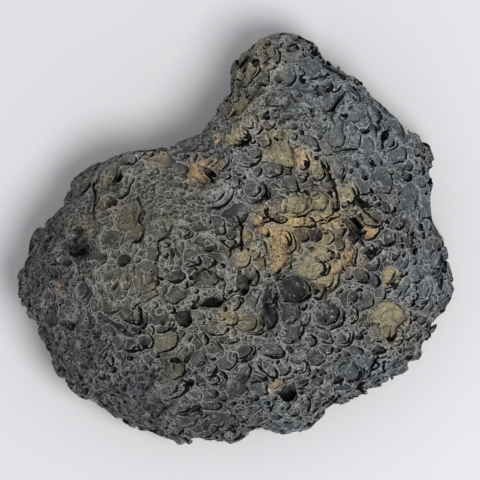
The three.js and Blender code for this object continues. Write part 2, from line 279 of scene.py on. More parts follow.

# bowls placed on the top: x, y, half length, half width, turn of the length, depth, and a tint if it
# has one of its own; mm and degrees
# of the tints, dark paints shade into a bowl; the others are the rock's own colour
placedBowls = [
    # horn
    (8.5, 67, 3.5, 3, 0, 1.4, "tan"), (3.5, 63, 2, 2, 0, 0.9, "tan"), (5, 57.5, 3.6, 3, 60, 1.5, "tan"),
    (3.5, 53, 1.8, 1.8, 0, 0.9), (17.5, 55.5, 4.5, 4, 20, 2), (14.5, 54.5, 2, 1.6, 0, 1.6, "dark"),
    (15, 47, 4.5, 4, 0, 1.8), (25, 52, 4.5, 3.8, 40, 1.6), (33.5, 47, 4.5, 3.8, 30, 1.8),
    (36, 55, 2, 2, 0, 1), (23.5, 67.5, 3, 2.5, 0, 1), (2, 45, 4, 3.2, 70, 1.8, "tan"),
    (-2, 43, 2.5, 2, 60, 1.2, "tan"), (3, 39.5, 2, 2, 0, 1), (0.5, 36.5, 3, 2.4, 20, 1.4, "tan"),
    (-2, 34, 2.5, 2, 0, 1.2, "rust"), (-6, 34.5, 2, 1.8, 0, 1, "rust"), (8, 37.3, 1.3, 1.3, 0, 1),
    (8.5, 33, 2.5, 2.2, 0, 1.2), (10.2, 41.2, 1.1, 1.1, 0, 3, "dark"),
    (14.5, 31.5, 6.3, 4.5, -62, 2.6, "tan"), (22, 44, 3.5, 3, 0, 1.4), (22.3, 36.2, 1.4, 1.2, 0, 2, "dark"),
    (25.7, 42.5, 1.6, 0.8, 60, 1.6, "dark"), (28.5, 35, 1.2, 1, 0, 1.4, "dark"),
    (31, 31, 3, 2.6, 0, 1, "pale"), (36.5, 41.5, 1.7, 1.4, 0, 1.4, "dark"),
    (36, 34.5, 7.4, 6, 40, 1.2, "pale"), (42, 43, 5, 4, -40, 1), (50.5, 35.2, 1.6, 1.5, 0, 4, "dark"),
    (48.7, 38.1, 0.9, 0.9, 0, 1.6, "dark"), (53, 33, 3.5, 3, 0, 1.4), (55, 29, 3.5, 3, 0, 1.4),
    (50, 20, 5.5, 4.8, 20, 1.8), (52.5, 24, 2.5, 2, 0, 1, "pale"), (58.5, 21, 2, 1.6, 0, 1.4, "dark"),
    (64, 24.5, 3, 1.2, 80, 1.4), (60, 14, 5, 4, 60, 1.6), (61.5, 29.5, 1.8, 1.5, 0, 1),
    # middle
    (2, 27, 5, 3, 15, 1), (6.5, 29, 2, 1.8, 0, 1), (12, 23, 3.5, 3, 0, 1.8), (16, 23.5, 3, 2.5, 0, 1.6),
    (21.5, 27.5, 3, 2.4, -45, 1.2, "rust"), (27.5, 23, 5.6, 3.6, -62, 1.6, "tan"),
    (23.8, 21.8, 1.2, 1.2, 0, 1.2, "dark"), (5.5, 16.5, 4.8, 4.2, -20, 2), (9.5, 16, 3, 2.4, -60, 1.8),
    (18, 18.5, 4, 3.2, 0, 1.4), (27, 12.3, 6.4, 5.4, -15, 2, "tan"), (21.3, 11.2, 4.5, 3.5, 5, 2.8, "tan"),
    (26.5, 15, 2, 0.8, 30, 1.6, "dark"), (8, 7, 3.5, 2.8, 30, 1, "rust"), (20, 6, 6, 2.2, -12, 1.4, "rust"),
    (31.5, 7.5, 4.5, 1.8, 35, 1.4, "rust"), (38, 16, 4, 3.2, 45, 1.4, "tan"),
    (36.3, 21, 1.6, 0.7, 60, 1.6, "dark"), (39, 23, 1.6, 0.7, 60, 1.4, "dark"),
    (32.5, 18, 2, 0.7, 88, 1.8, "dark"), (40.3, 5.4, 4.3, 1.9, -62, 9, "dark"),
    (42.6, 11.4, 3.6, 1.3, -50, 3, "dark"), (45, 2, 2.7, 2.4, 0, 1.6, "rust"), (51.5, 0.5, 3.5, 3, 0, 1.4),
    (69, -2, 2, 2, 0, 1.2), (60.5, -4, 1.8, 1.5, 0, 3, "dark"), (62, -0.7, 0.8, 0.8, 0, 1.4, "dark"),
    (15, 0, 5, 4.4, 0, 1.4, "rust"), (15.5, 1, 3, 2.8, 0, 2.2, "rust"),
    (15, -6.5, 5.4, 4.8, 90, 1.4, "rust"), (24.5, -9.5, 4.5, 4, 0, 1.4, "tan"),
    (22.5, 1, 2.2, 2, 0, 1.8, "dark"), (27, 1.2, 2.5, 2.2, 0, 1.8, "dark"),
    (25.8, -3.3, 1, 0.8, 0, 1.6, "dark"), (30, 0.5, 3, 2.6, 0, 1.2, "tan"),
    (29.5, -5.5, 3, 2.6, 0, 1.2, "tan"), (35.5, -2, 2.6, 2.2, 0, 1.8), (38.5, -5, 4, 3.2, 40, 1.6, "rust"),
    (34.5, -10, 2.5, 2.3, 0, 1.6, "rust"), (31.5, -15, 3.5, 3, 0, 1.6, "tan"),
    (4, 1.5, 2.6, 2.2, 0, 1.2, "tan"), (9, 2.5, 2, 1.8, 0, 1, "tan"), (3, -7, 3, 2.6, 40, 1.4, "tan"),
    (6, -5, 2.5, 2, 60, 1.2, "tan"), (2.5, -17, 2, 1.8, 0, 1.6, "dark"),
    # right
    (45, -8, 3, 2.8, 0, 1.4), (42, -12.5, 3.2, 2.8, 0, 1.4), (38, -12.5, 2, 1.8, 0, 1),
    (52.5, -12.5, 3.6, 3.2, 30, 1.6, "tan"), (62, -12, 3.5, 3, 0, 1.8), (57, -12, 1.5, 1.5, 0, 1),
    (57, -18.7, 0.8, 0.8, 0, 1.2, "dark"), (62, -22, 0.7, 0.7, 0, 1.2, "dark"),
    (65, -17.5, 4, 3.4, 30, 1.6), (67, -24, 4, 3.2, 60, 1.8), (70, -13, 3, 2.4, 80, 1.8, "dark"),
    (51.5, -27.5, 8, 7, -40, 2.6, "tan"), (52.5, -32.3, 4.4, 4, 0, 3.8, "tan"),
    (46.2, -28.5, 1.8, 0.8, 70, 2.6, "dark"), (60, -32, 3, 2.6, 0, 1.4),
    (60.5, -35, 1.2, 1, 0, 2.4, "dark"), (53.5, -42.5, 3, 2.6, 0, 1.4), (48, -38, 2.2, 1.8, 0, 2.4, "dark"),
    (42, -33.5, 1.3, 1.2, 0, 1.6, "dark"), (38, -20.5, 2.8, 2.4, 0, 1.4), (43, -20.5, 3.5, 3, 0, 1.8),
    (12, -17.5, 3.5, 3.3, 90, 2, "dark"), (19.7, -16.8, 5.4, 4.8, 10, 2.4, "dark"),
    (27.5, -17.5, 3, 2.8, 90, 1.6, "dark"), (18, -24.5, 3.5, 2.8, -20, 1.6), (31, -25.5, 5.6, 5, -30, 1),
    (31, -25, 4.3, 3.8, -30, 2.6), (10.5, -27, 4.4, 2.8, 75, 3.4, "dark"),
    (4.6, -28.4, 6.2, 4.6, 12, 2.2, "olive"), (19, -31.5, 4, 3.4, 20, 1.6), (30, -32, 4, 2.6, -45, 1.6),
    (36.5, -33, 4.5, 3.4, 70, 1.8), (2.5, -38.5, 4.5, 3.4, 0, 1.6), (12, -37.5, 4.5, 2.5, 0, 1.6),
    (18.5, -37.5, 1, 1, 0, 2, "dark"), (27, -40.5, 4, 3.2, 0, 1.6), (31, -37.5, 2.2, 1.8, 0, 1.2),
    (38, -45, 5.8, 4.6, -20, 2.2), (39, -45.5, 4, 3.2, -20, 3.4), (34.5, -48.5, 2.5, 1.5, 20, 3, "dark"),
    # bottom
    (18, -53.5, 3.3, 2.6, 40, 2.5, "dark"), (10.5, -56.5, 2.7, 2.5, 0, 1.8),
    (10.5, -56.5, 1.2, 1.2, 0, 3, "dark"), (14, -50.5, 3.2, 2.6, 0, 1.6, "tan"), (8, -51, 3, 2.6, 0, 1.4),
    (1, -51, 5, 4, 15, 1.8), (2, -45, 4, 3.2, 0, 1.2, "pale"), (7.5, -46.5, 2, 1.8, 0, 1),
    (15.5, -44.5, 3, 2.6, 0, 1.4), (-3.5, -41.5, 4, 3.2, 0, 1.6), (-9, -44.5, 2.5, 2.2, 0, 1.2),
    (-13, -40.5, 2.5, 2.2, 0, 1.2), (-9.5, -52.5, 2.8, 2.4, 0, 1.4), (-9, -57, 3, 2.6, 0, 1.8),
    (-5.5, -62.5, 4.5, 3.6, 0, 2.6, "dark"), (-28, -63, 2, 1, 0, 1.8, "dark"), (-23, -51.5, 5, 4, 30, 1.8),
    (-28, -55, 2.5, 2.2, 0, 1.4), (-21, -43, 5, 4, 60, 1.8, "olive"), (-24, -34.5, 4.5, 3.8, 0, 2, "olive"),
    (-29, -45.5, 2, 0.8, 60, 1.8, "dark"), (-26, -47, 1.6, 0.7, 40, 1.6, "dark"),
    (-16, -45, 1.8, 0.8, 60, 1.6, "dark"), (-12, -44.5, 0.9, 0.9, 0, 1.4, "dark"),
    (-17.8, -27.3, 3.2, 2.6, 60, 3.2, "dark"), (-7.7, -27.9, 0.9, 0.9, 0, 1.6, "dark"),
    (-1.5, -27.5, 2.5, 2.2, 0, 1.6, "tan"), (-36, -40.5, 1.5, 1.2, 0, 1.8, "dark"),
    (-41.5, -44.5, 1.4, 1.1, 0, 1.6, "dark"), (-37.5, -45.7, 1.2, 1, 0, 1.4, "dark"),
    (-34, -31, 1.5, 1.2, 0, 1.6, "dark"), (-32, -49, 4, 3.2, 30, 1.6),
    # left
    (-40.5, 19.5, 6, 5, 60, 1.6), (-43, 21.5, 4.4, 3.6, 60, 2.4, "olive"), (-53, 18, 4.5, 3.4, 50, 1.6),
    (-47.5, 20.5, 4.6, 0.9, 82, 1.4, "dark"), (-48.5, 10.5, 4.8, 0.9, 80, 1.4, "dark"),
    (-37, 6.5, 4.5, 3.6, 70, 1.8, "olive"), (-34, 2, 3.5, 3, 60, 2, "olive"),
    (-54, -3, 7, 3.4, -12, 2.6, "dark"), (-57.5, -8, 1.3, 1.1, 0, 1.6, "dark"),
    (-48, 1.7, 0.7, 0.7, 0, 1.2, "dark"), (-26, 3, 4, 3.4, 0, 1.8), (-18, 2.5, 4, 3.2, 0, 1.4),
    (-11, -1.5, 3, 2.6, 0, 1.4), (-6, 5, 3, 2.6, 0, 1.4), (-15, -6, 3, 2.6, 0, 1.4),
    (-10, -8, 2.5, 2.2, 0, 1.2), (-22, -4, 1.2, 1.2, 0, 1.4, "dark"), (-13, 22.4, 6, 2.6, -36, 1.8, "rust"),
    (-9.8, 23, 3.4, 0.9, -45, 2.4, "dark"), (-8, 19.5, 1.1, 0.9, 0, 1.8, "dark"),
    (-11.5, 18, 1, 0.9, 0, 1.6, "dark"), (-8, 14.6, 7, 4.8, 20, 1.2, "pale"),
    (-14.5, 30.5, 1.4, 1, 0, 1.6, "dark"), (-18, 28, 1.4, 1.2, 0, 1.6, "dark"),
    (-3.5, 21.5, 1.5, 1.3, 0, 1.4), (-5, 26, 2.4, 2, 0, 1.2, "tan"), (-43, -11, 4.5, 3.8, 0, 1.6),
    (-38, -7, 3, 2.4, 0, 2, "dark"), (-34, -17.5, 2.5, 2.2, 0, 1.6),
    (-53.5, -24.8, 0.8, 0.8, 0, 1.2, "dark"), (-58, -29, 3, 1.6, 0, 1.8, "dark"),
    (-51, -18, 4, 3.4, 0, 1.6), (-51, -27.5, 4, 3.4, 0, 1.6), (-43, -31, 2.5, 2.2, 0, 1.4),
    (-47, -36, 3, 2.6, 0, 1.4), (-51, -39, 2, 1.8, 0, 1.2),
]


bubbles = []  # every bubble carved so far


def bubbleOf(spot, out, low, longWay, radii, lean, tint=""):
    # a bubble whose opening has its middle at the spot; low is the way it dips
    sunk = spot - bowl["sink"] * radii[2] * out
    size = math.sqrt(radii[0] * radii[1]) / bowl["roomier"]
    axes = bubbleAxes(out, math.radians(lean), low, longWay)
    return {"centre": sunk, "spot": spot, "axes": axes, "radii": radii, "low": low, "size": size,
            "tint": tint}


def carvePlacedBowls(stone):
    dice = seeded(19)
    heights = topHeights(stone["solid"], [each[:2] for each in placedBowls])
    spots = np.array([[*each[:2], z] for each, z in zip(placedBowls, heights)])
    outward = slopeAt(softened(stone["solid"], 1.2), spots)
    stream = towards(np.array(bowl["leanTowards"], float), outward)
    for (_, _, long, wide, turn, depth, *own), spot, out, low in zip(placedBowls, spots, outward, stream):
        tint = own[0] if own else ""
        lean = bowl["lean"] * min(1, wide / depth / 1.2)
        longWay = np.array([math.cos(math.radians(turn)), math.sin(math.radians(turn)), 0])
        half = depth * (1 if tint == "dark" else bowl["shallower"]) / (1 + bowl["sink"])
        radii = (long * bowl["roomier"], wide * bowl["roomier"], half)
        carve(stone, bubbleOf(spot, out, low, longWay, radii, lean, tint))
        least, most = bowl["nestedIn"]
        if least < wide < most and tint != "dark" and dice.random() < bowl["nestedShare"]:
            share = dice.uniform(*bowl["nested"])
            sunk, flat = bowl["nestedSunk"]
            place = spot + low * wide * dice.uniform(*bowl["nestedOff"]) - out * half * sunk
            inner = (long * share * bowl["roomier"], wide * share * bowl["roomier"], half * flat)
            carve(stone, bubbleOf(place, out, low, longWay, inner, lean, tint))


# the froth between them and round the sides and underside
froth = {
    "terraces": {"radius": (6, 12), "tries": 160, "depth": (0.4, 0.9), "seed": 20},
    "sizes": [
        {"radius": (2.1, 4.2), "tries": 4000, "seed": 21},
        {"radius": (1.3, 2.6), "tries": 16000, "seed": 22},
        {"radius": (0.85, 1.6), "tries": 60000, "seed": 23},
    ],
    "crowding": (1.05, 1.4),  # above 1 a bubble breaks into its neighbour
    "stretch": (1.0, 1.45),
    "flatness": (0.18, 0.36),  # depth against radius
    "deeperOnSides": 1.9,
    "lean": (2, 9),  # degrees
    "wander": 28,  # how far the low sides turn from each other, degrees
    "lip": (0.15, 0.42),  # how far the walls stand up along their ridges, and half their width, mm
    "grain": (0.05, 0.9, 41),  # height, size and seed of the finest swells, mm
    "melt": 0.17,  # how far everything is rounded at the end, mm
    "sliver": (0.7, 0.35),  # what stands out this much over this reach is taken off, mm
    "strays": {"radius": (0.7, 1.3), "count": 400, "notInside": 3.4, "seed": 29},  # kept out of wide bowls
    "pits": [  # deeper round holes, by how far the stone faces up where they are
        {"radius": (0.9, 2.6), "facing": (-1, 0.45), "count": 420, "seed": 36},
        {"radius": (0.45, 0.9), "facing": (0.45, 1.1), "count": 130, "seed": 37},
    ],
}

# parts of the top where the froth is finer: x, y, reach and the largest bubble, mm
fineFroth = [
    (-25, 13, 11, 1.3), (-58, 6, 12, 1.5), (-52, 32, 12, 1.5), (-34, -56, 14, 2.0), (-8, 34, 9, 1.6),
    (-66, -14, 10, 1.6), (20, 44, 8, 1.8), (-55, -40, 12, 1.8),
]


def carveTerraces(stone):
    # broad shallow scars that leave steps between them
    size = froth["terraces"]
    dice = seeded(size["seed"])
    spots, outward = surfaceSpots(stone["solid"], size["tries"], dice)
    stream = towards(np.array(bowl["leanTowards"], float), outward)
    for spot, out, low in zip(spots, outward, stream):
        radius = dice.uniform(*size["radius"])
        depth = dice.uniform(*size["depth"])
        radii = (radius, radius * dice.uniform(0.5, 0.9), depth)
        carve(stone, bubbleOf(spot, out, low, np.cross(out, low), radii, dice.uniform(3, 8)))


def treeOf(spots):
    tree = KDTree(len(spots))
    for place, spot in enumerate(spots):
        tree.insert(spot, place)
    tree.balance()
    return tree


def widestFits(spots, taken):
    # how far each spot is from the edge of the nearest opening, mm
    tree = treeOf(taken[:, :3])
    fits = []
    for spot in spots:
        fits.append(min(away - taken[place][3] for _, place, away in tree.find_n(spot, 5)))
    return np.array(fits)


def frothBubble(spot, out, radius, dice):
    low = towards(np.array(bowl["leanTowards"], float), out[None])[0]
    if out[2] < 0.2:
        low = towards(np.array([0, 0, 1.0 if dice.random() < 0.3 else -1.0]), out[None])[0]
    turn = math.radians(dice.normal(0, froth["wander"]))
    low = math.cos(turn) * low + math.sin(turn) * np.cross(out, low)
    spin = dice.uniform(0, math.pi)
    longWay = math.cos(spin) * low + math.sin(spin) * np.cross(out, low)
    stretch = dice.uniform(*froth["stretch"])
    depth = radius * dice.uniform(*froth["flatness"]) * (froth["deeperOnSides"] if out[2] < 0.5 else 1)
    wide = radius * bowl["roomier"]
    place = spot - dice.uniform(-0.2, 0.4) * depth * out
    radii = (wide * stretch, wide / stretch, depth)
    return bubbleOf(place, out, low, longWay, radii, dice.uniform(*froth["lean"]))


def carveFroth(stone, first):
    # fills the room that is left, the large bubbles first; the scars before the first bowl don't count
    placed = bubbles[first:]
    taken = np.array([[*each["spot"], each["size"] * 1.08] for each in placed])
    for size in froth["sizes"]:
        dice = seeded(size["seed"])
        least, most = size["radius"]
        spots, outward = surfaceSpots(whole, size["tries"], dice)
        free = widestFits(spots, taken) > least
        spots, outward = spots[free], outward[free]
        largest = np.full(len(spots), float(most))
        for x, y, reach, radius in fineFroth:
            inside = (np.hypot(spots[:, 0] - x, spots[:, 1] - y) < reach) & (outward[:, 2] > 0.2)
            largest[inside] = np.minimum(largest[inside], radius)
        room = np.zeros((len(taken) + len(spots), 4))
        room[: len(taken)] = taken
        count = len(taken)
        for spot, out, limit in zip(spots, outward, largest):
            gap = (np.sqrt(np.sum((room[:count, :3] - spot) ** 2, axis=1)) - room[:count, 3]).min()
            if gap < least or limit < least:
                continue
            radius = min(gap * dice.uniform(*froth["crowding"]), dice.uniform(least, limit))
            room[count] = [*spot, radius]
            count += 1
            carve(stone, frothBubble(spot, out, radius, dice))
        report(f"  froth of {size['radius']} mm, {count - len(taken)} bubbles")
        taken = room[:count]
    size = froth["strays"]
    dice = seeded(size["seed"])
    spots, outward = surfaceSpots(stone["solid"], size["count"], dice)
    bare = [each for each in placed if each["size"] > size["notInside"]]
    for spot, out in zip(spots, outward):
        if not any(np.linalg.norm(spot - each["spot"]) < each["size"] for each in bare):
            carve(stone, frothBubble(spot, out, dice.uniform(*size["radius"]), dice))


def carvePits(stone):
    for size in froth["pits"]:
        dice = seeded(size["seed"])
        spots, outward = surfaceSpots(stone["solid"], size["count"], dice)
        for spot, out in zip(spots, outward):
            if size["facing"][0] < out[2] < size["facing"][1]:
                radius = dice.uniform(*size["radius"])
                pit = frothBubble(spot, out, radius, dice)
                pit["radii"] = (radius, radius * dice.uniform(0.6, 1), radius * dice.uniform(0.7, 1.1))
                # the dark tint paints shade into the pits
                pit["tint"] = "dark"
                carve(stone, pit)


# long cracks over the top: the places they run through in plan, mm
cracks = [
    [(-21.5, 4.6), (-23.5, 0.5), (-27, -1.6), (-26, -5.7), (-27.6, -9.1), (-26.6, -13.9)],
    [(-33.5, 14), (-32.5, 10), (-33.5, 6), (-31, 3.5), (-32.5, 0), (-35, -1.2)],
    [(-48.5, 19), (-47.5, 14), (-48.5, 9), (-47.8, 6)],
    [(28.8, 26.6), (30.8, 22.8), (32.5, 19.4), (33.8, 15.1), (34.4, 10.7)],
    [(-14, -12), (-10.5, -10), (-6.5, -13), (-4, -14)],
    [(39.4, 17.5), (42, 12.8), (45, 9), (48.2, 5.5)],
    [(-2, -4), (1.5, -1), (2, 3.5), (0.5, 8)],
]
crackShape = {"half": 0.4, "sunk": 0.6, "deeper": 4, "step": 0.25, "sway": 0.09}  # mm; depth against width


def runOf(crack, dice):
    # the crack as close spots that wander a little
    run = []
    for (x, y), (toX, toY) in zip(crack, crack[1:]):
        steps = max(2, int(math.hypot(toX - x, toY - y) / crackShape["step"]))
        for t in np.arange(steps) / steps:
            run.append((x + t * (toX - x), y + t * (toY - y)))
    sway = np.cumsum(dice.normal(0, crackShape["sway"], (len(run), 2)), axis=0)
    return np.array(run) + sway - np.linspace(0, 1, len(run))[:, None] * sway[-1]


def carveCracks(field):
    # returns the run of each crack in plan
    dice = seeded(33)
    runs = [runOf(crack, dice) for crack in cracks]
    for run in runs:
        for place, z in zip(run, topHeights(whole, run)):
            centre = np.array([*place, z - crackShape["sunk"]])
            window, (x, y, z) = nearby(centre, 2.2)
            gap = crackShape["half"] - np.sqrt(x**2 + y**2 + (z / crackShape["deeper"]) ** 2)
            np.maximum(field[window], gap, out=field[window])
    return np.vstack(runs)


def fromRidge(stone):
    # how far each cell is from the nearest ridge between two walls, mm
    lead = stone["solid"] - stone["runnerUp"]
    steepness = np.zeros(blockShape, np.float32)
    for axis in range(3):
        step = np.abs(np.diff(lead, axis=axis)) / cell
        ends = [(1, 0) if a == axis else (0, 0) for a in range(3)]
        before = np.pad(step, ends)
        after = np.pad(step, [pair[::-1] for pair in ends])
        steepness += np.maximum(before, after) ** 2
    return np.minimum(lead / np.clip(np.sqrt(steepness), 0.35, 2.0), 4)


def skinOf(field):
    levels = openvdb.FloatGrid(1.2)
    levels.copyFromArray(np.clip(field, -1.2, 1.2), ijk=tuple(int(n) for n in firstCell), tolerance=1e-4)
    levels.transform = openvdb.createLinearTransform(voxelSize=cell / 1000)
    points, triangles, quads = levels.convertToPolygons(isovalue=0.0, adaptivity=0.0)
    return points, np.vstack([triangles, quads[:, [0, 1, 2]], quads[:, [0, 2, 3]]]).astype(np.int64)


skin = {
    "triangles": 193000,
    "zones": (-0.4, 0.1),  # underside, sides and top, by how far the lump faces up
    "spare": (1.0, 0.8, 0.5),  # how readily each gives up its triangles
    "pull": 1.0,
}


def meshOf(name, points, faces):
    mesh = bpy.data.meshes.new(name)
    mesh.vertices.add(len(points))
    mesh.vertices.foreach_set("co", points.astype(np.float32).ravel())
    mesh.loops.add(faces.size)
    mesh.loops.foreach_set("vertex_index", faces.astype(np.int32).ravel())
    mesh.polygons.add(len(faces))
    mesh.polygons.foreach_set("loop_start", np.arange(0, faces.size, 3, dtype=np.int32))
    mesh.update(calc_edges=True)
    return mesh


def largestPart(points, faces):
    # drops bubbles sealed inside and loose crumbs
    label = np.arange(len(points))
    ends = np.vstack([faces[:, :2], faces[:, 1:], faces[:, [2, 0]]])
    while True:
        before = label.copy()
        for end in (0, 1):
            low = np.minimum(label[ends[:, 0]], label[ends[:, 1]])
            order = np.argsort(-low, kind="stable")
            label[ends[order, end]] = low[order]
        label = np.minimum(label, before)
        label = label[label]
        label = label[label]
        if np.array_equal(before, label):
            break
    counts = np.bincount(label[faces[:, 0]])
    kept = faces[label[faces[:, 0]] == counts.argmax()]
    used = np.unique(kept)
    place = np.zeros(len(points), int)
    place[used] = np.arange(len(used))
    return points[used], place[kept]


def thinnedSkin(points, faces, outward):
    # fewer triangles, most of them kept where the stone is looked at; the weights are tuned for mm
    rough = addToScene("rough", meshOf("rough", points * 1000, faces))
    spare = rough.vertex_groups.new(name="spare")
    zone = np.digitize(outward[:, 2], skin["zones"])
    for place, weight in enumerate(skin["spare"]):
        spare.add(np.flatnonzero(zone == place).tolist(), weight, "REPLACE")
    thin = rough.modifiers.new("thin", "DECIMATE")
    thin.ratio = skin["triangles"] / len(faces)
    thin.vertex_group = "spare"
    thin.vertex_group_factor = skin["pull"]
    bpy.context.view_layer.update()
    mesh = bpy.data.meshes.new_from_object(rough.evaluated_get(bpy.context.evaluated_depsgraph_get()))
    bpy.data.objects.remove(rough)
    points = np.empty(len(mesh.vertices) * 3, np.float32)
    mesh.vertices.foreach_get("co", points)
    faces = np.empty(len(mesh.loops), np.int32)
    mesh.loops.foreach_get("vertex_index", faces)
    return points.reshape(-1, 3) / 1000, faces.reshape(-1, 3).astype(np.int64)


# tints of the top beyond single bowls, with painted light and shade among them as marked: x, y, reach in
# mm, strength
patches = {
    "tan": [
        (16, -1, 8, 0.9), (22, 8, 9, 0.75), (33, 10, 9, 0.7), (29, -6, 6, 0.8), (31, -14, 5, 0.8),
        (13, 30, 6, 0.5), (5, 61, 11, 0.6), (3, 42, 8, 0.5), (14, 32, 8, 0.35), (5, -6, 9, 0.4),
        (52, -29, 8, 0.5), (0, -27, 7, 0.3), (28, 24, 7, 0.4), (43, 7, 5, 0.6), (-43, 10, 5, 0.22),
        (-52, 4, 4, 0.22), (-28, -15, 3, 0.35),
    ],
    "olive": [
        (-41, 17, 10, 0.5), (-36, 4, 8, 0.4), (-24, -38, 9, 0.3), (-46, 4, 9, 0.3), (-24, 8, 16, 0.45),
        (-10, -24, 16, 0.3), (-36, -12, 14, 0.55),
    ],
    "rust": [
        (10, 8, 5, 0.4), (14, -6, 5, 0.5), (22, 5, 4.5, 0.6), (33, 5, 5, 0.35), (38, -6, 6, 0.4),
        (22, 27, 4, 0.6), (-12, 23, 5, 0.6), (-27, 28, 5, 0.35), (-60, -16, 3, 0.5), (-37, 7, 6, 0.12),
    ],
    # blue: a bluish cast, painted reflection of blue light, most of it round the margins
    "blueReflection": [
        (46, 36, 20, 0.8), (28, 56, 16, 0.75), (66, 14, 14, 0.8), (64, -14, 14, 0.7), (12, -60, 20, 0.4),
        (-34, -58, 20, 0.45), (46, -48, 14, 0.7), (-66, -20, 14, 0.4), (10, 66, 14, 0.6),
    ],
    # pale: lighter floors of the rock's own, and painted light at the horn's tip and the top of the left
    # lobe
    "pale": [
        (36, 35, 8, 0.5), (10, 66, 13, 1.0), (-6, 42, 9, 0.6), (-31, 32, 12, 0.9), (4, 31, 9, 0.5),
        (42, 29, 8, 0.6), (3, 17, 7, 0.5), (28, 43, 7, 0.5),
    ],
    # dark: painted shade towards near black, over the left and lower margins, round the deep dark bowls and
    # in the pocket at (-54, -3)
    "dark": [
        (-54, -3, 5.5, 1.6), (20, -16, 9, 0.25), (10, -28, 6, 0.3), (-8, -62, 9, 0.5), (-66, 2, 20, 0.62),
        (-64, -18, 18, 0.7), (-54, -38, 19, 0.68), (-34, -53, 20, 0.62), (-4, -57, 20, 0.55),
        (-62, 24, 14, 0.45), (-35, 9, 12, 0.45), (38, -42, 8, 0.35),
    ],
}
tints = list(patches)


outline = {
    "sets": 6,  # bubbles that touch are kept in different sets, so each outline stays clean
    "gap": 0.9,  # bubbles of one set stay this far apart, mm
    "reach": 1.6,  # how far from an outline it is still marked, mm
    "least": 1.0,  # smaller bubbles are not outlined, mm
}


# where few bubbles have a crack along their low side: x, y, reach, mm, and how few
calmPlaces = [(-42, 2, 24, 0.6), (-54, -26, 18, 0.35), (-16, 6, 12, 0.3), (36, 34, 9, 0.4)]


def quietness(first, firstSmall):
    # 0 or less for a bubble with a full crack along its low side, 1 or more for one that has none
    quiet = seeded(34).uniform(-0.2, 0.8, len(bubbles))
    quiet[first:firstSmall] *= 0.6
    for number, bubble in enumerate(bubbles[first:], first):
        calm = []
        for x, y, reach, share in calmPlaces:
            away = math.hypot(bubble["spot"][0] - x, bubble["spot"][1] - y) / reach
            calm.append(share * math.exp(-(away**4)))
        quiet[number] += max(calm)
    return quiet


def sortedIntoSets(first):
    # the set of each bubble, large ones first; a bubble that fits in none has no outline
    order = sorted(range(first, len(bubbles)), key=lambda n: -bubbles[n]["size"])
    order = [n for n in order if bubbles[n]["size"] > outline["least"]]
    rounds = np.array([[*bubbles[n]["spot"], max(bubbles[n]["radii"][:2])] for n in order])
    chosen = np.full(len(order), -1)
    for place in range(len(order)):
        apart = np.linalg.norm(rounds[:place, :3] - rounds[place, :3], axis=1)
        close = apart < rounds[:place, 3] + rounds[place, 3] + outline["gap"]
        free = set(range(outline["sets"])) - set(chosen[:place][close])
        if free:
            chosen[place] = min(free)
    return order, chosen


def outlinesOf(points, first, quiet):
    # for each set: how far each point is from the nearest outline, below zero inside it, and how near it
    # is to the low side
    tree = treeOf(points)
    bent = points + np.stack([readAt(bend, points) for bend in bends], 1)
    edges = np.full((outline["sets"], len(points)), outline["reach"])
    sides = np.zeros((outline["sets"], len(points)))
    for number, which in zip(*sortedIntoSets(first)):
        if which < 0:
            continue
        bubble = bubbles[number]
        around = tree.find_range(bubble["spot"], max(bubble["radii"]) + outline["reach"] + 1)
        found = np.array([place for _, place, _ in around], int)
        if not len(found):
            continue
        away = bent[found] - bubble["centre"] - bendAt(bubble["centre"])
        long, wide, out = (away @ axis for axis in bubble["axes"])
        longest, widest = bubble["radii"][:2]
        turn = np.hypot(long / longest, wide / widest)
        steep = np.hypot(long / longest**2, wide / widest**2) / np.maximum(turn, 1e-3)
        edge = (turn - bowl["rimAt"]) / np.maximum(steep, 1e-3)
        flat = bubble["axes"][0] * long[:, None] + bubble["axes"][1] * wide[:, None]
        side = flat @ bubble["low"] / np.maximum(np.linalg.norm(flat, axis=1), 1e-3)
        nearer = (edge < edges[which][found]) & (np.abs(out) < 2.5)
        edges[which][found[nearer]] = np.maximum(edge[nearer], -outline["reach"])
        sides[which][found[nearer]] = side[nearer] - quiet[number]
    return edges, sides


def tintOf(points, outward, owner):
    # how strong each tint is at each point; each bubble takes it up more or less
    strength = {tint: np.zeros(len(points)) for tint in tints}
    facingUp = np.clip(outward[:, 2] * 2 + 0.4, 0, 1)
    share = seeded(52).uniform(0.45, 1.4, len(bubbles))[owner]
    for tint, x, y, reach, most in [(tint, *patch) for tint in tints for patch in patches[tint]]:
        away = np.hypot(points[:, 0] - x, points[:, 1] - y) / reach
        strength[tint] = np.maximum(strength[tint], most * share * np.exp(-1.2 * away**3) * facingUp)
    own = np.array([tints.index(each["tint"]) if each["tint"] else -1 for each in bubbles])[owner]
    wideAndDark = [each["tint"] == "dark" and each["size"] > bowl["greyFrom"] for each in bubbles]
    full = np.where(np.array(wideAndDark)[owner], 0.55, 0.8)
    for place, tint in enumerate(tints):
        strength[tint] = np.where(own == place, np.maximum(strength[tint], full), strength[tint])
    return {tint: np.minimum(values, 1) for tint, values in strength.items()}


def finenessOf(points, outward):
    # 1 where the froth is fine and its outlines are lost, 0 where it is coarse
    fineness = np.zeros(len(points))
    for x, y, reach, _ in fineFroth:
        away = np.hypot(points[:, 0] - x, points[:, 1] - y) / reach
        fineness = np.maximum(fineness, np.clip(1.6 - 1.3 * away, 0, 1) * (outward[:, 2] > 0))
    return fineness


def fromPath(points, path, outward):
    # how far each point of the top is from the nearest crack, mm
    tree = treeOf([(*spot, 0) for spot in path])
    away = np.full(len(points), 2.0)
    for place in np.flatnonzero(outward[:, 2] > 0.2):
        away[place] = min(2.0, tree.find((points[place, 0], points[place, 1], 0))[2])
    return away


